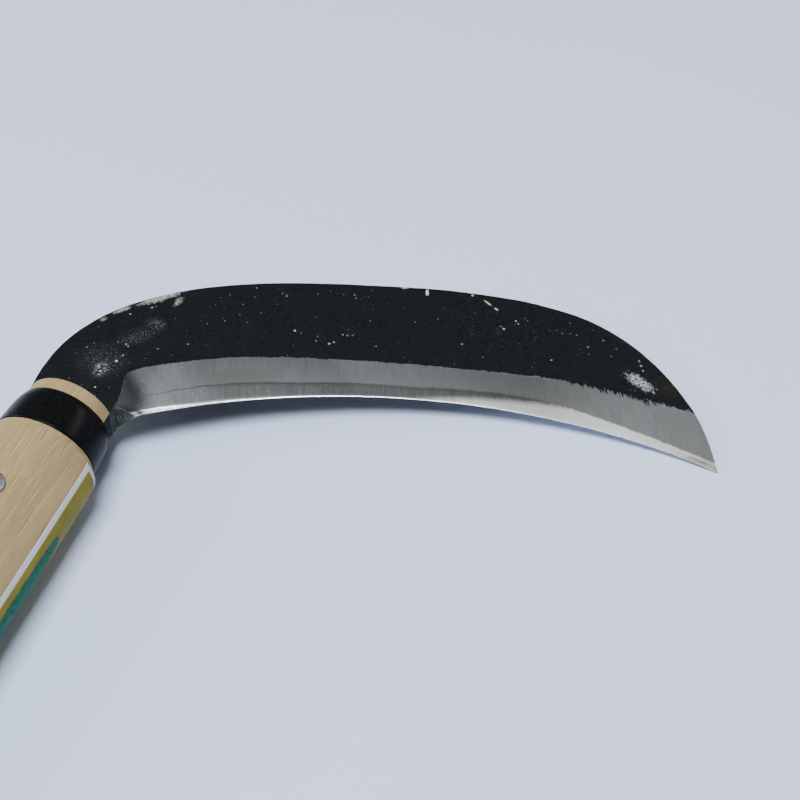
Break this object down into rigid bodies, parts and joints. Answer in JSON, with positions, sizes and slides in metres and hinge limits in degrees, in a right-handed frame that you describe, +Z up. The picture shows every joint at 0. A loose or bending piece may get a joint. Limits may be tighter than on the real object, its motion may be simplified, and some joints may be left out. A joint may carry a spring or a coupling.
{
  "type": "hand sickle",
  "caption": "Thick curved sickle blade of laminated steel with a short neck, fixed by a wedge tang and rivets in an oval oak handle with a black ferrule.",
  "frame": {"origin": "bottom centre of the bounding box, on the table that the tool lies on, blade face up", "axes": "+Y from the butt of the handle to the blade, along the handle; +X from the handle towards the blade point; +Z up from the table, close to the blade's face normal (the blade's plane leans about 4.6 degrees down towards the point)"},
  "size_m": [0.1936, 0.4656, 0.0292],
  "materials": {
    "blade": "black forge scale, satin-ground on the bevels",
    "edge_steel": "ground across the blade",
    "handle": "plain sanded oak",
    "ferrule": "moulded black, semi-gloss",
    "tang_rivets": "zinc-plated",
    "label": "printed paper"
  },
  "bodies": {
    "root": {"blade": "blade", "edge_steel": "edge_steel", "handle": "handle", "ferrule": "ferrule", "tang_rivets": "tang_rivets", "label": "label"}
  },
  "joints": []
}
